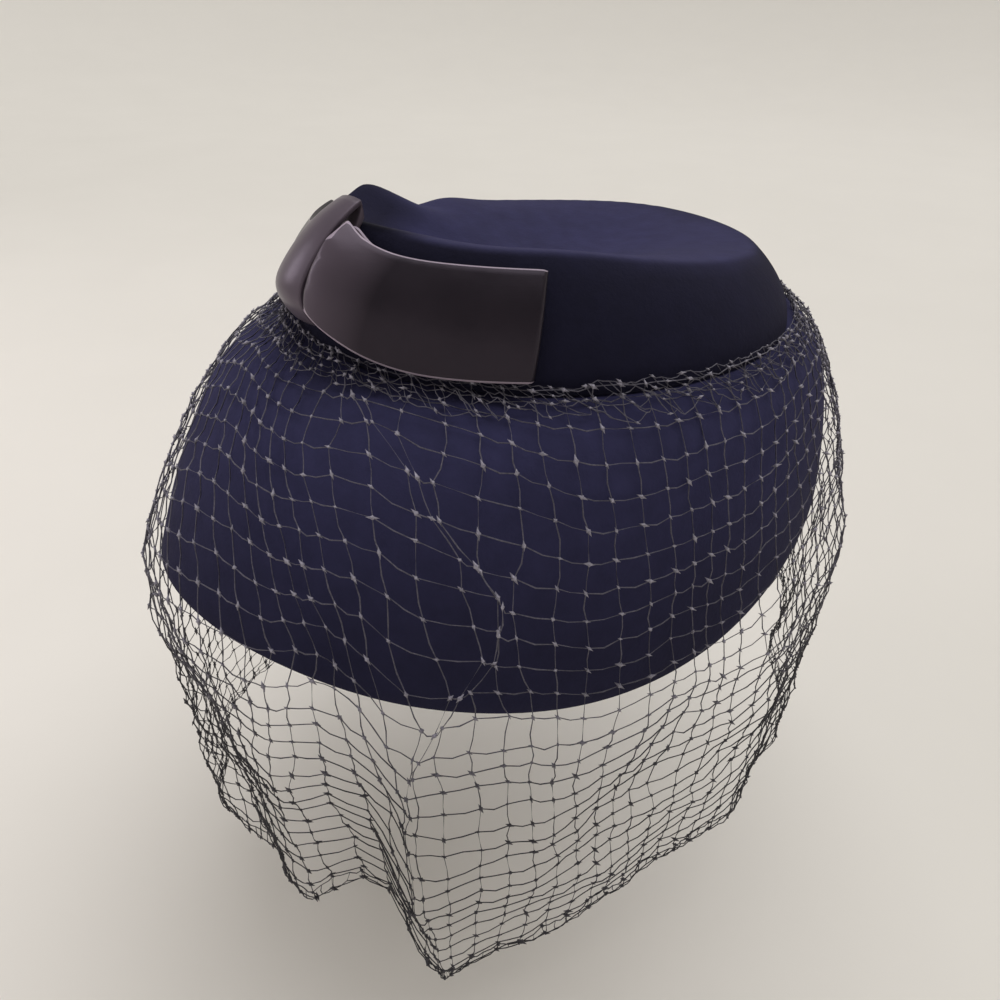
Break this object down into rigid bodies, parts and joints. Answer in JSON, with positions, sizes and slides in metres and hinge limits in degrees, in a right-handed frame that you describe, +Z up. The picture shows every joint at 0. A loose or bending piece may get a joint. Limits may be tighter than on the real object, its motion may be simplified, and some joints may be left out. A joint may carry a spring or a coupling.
{
  "type": "pillbox hat",
  "caption": "Blocked felt pillbox hat with a soft dished crown, a deep flared brim, a flat satin bow and a gathered net veil hanging below the rim.",
  "frame": {"origin": "middle of the crown's foot, where the top of the head comes to rest", "axes": "+Z up out of the crown, -Y to the wearer's front, +X to the wearer's left"},
  "size_m": [0.2097, 0.2491, 0.2172],
  "materials": {
    "felt": "matte",
    "satin": "satin",
    "net": "matte"
  },
  "bodies": {
    "root": {"crown": "felt", "brim": "felt", "bow_loop_left": "satin", "bow_loop_right": "satin", "bow_knot": "satin", "veil": "net"}
  },
  "joints": []
}
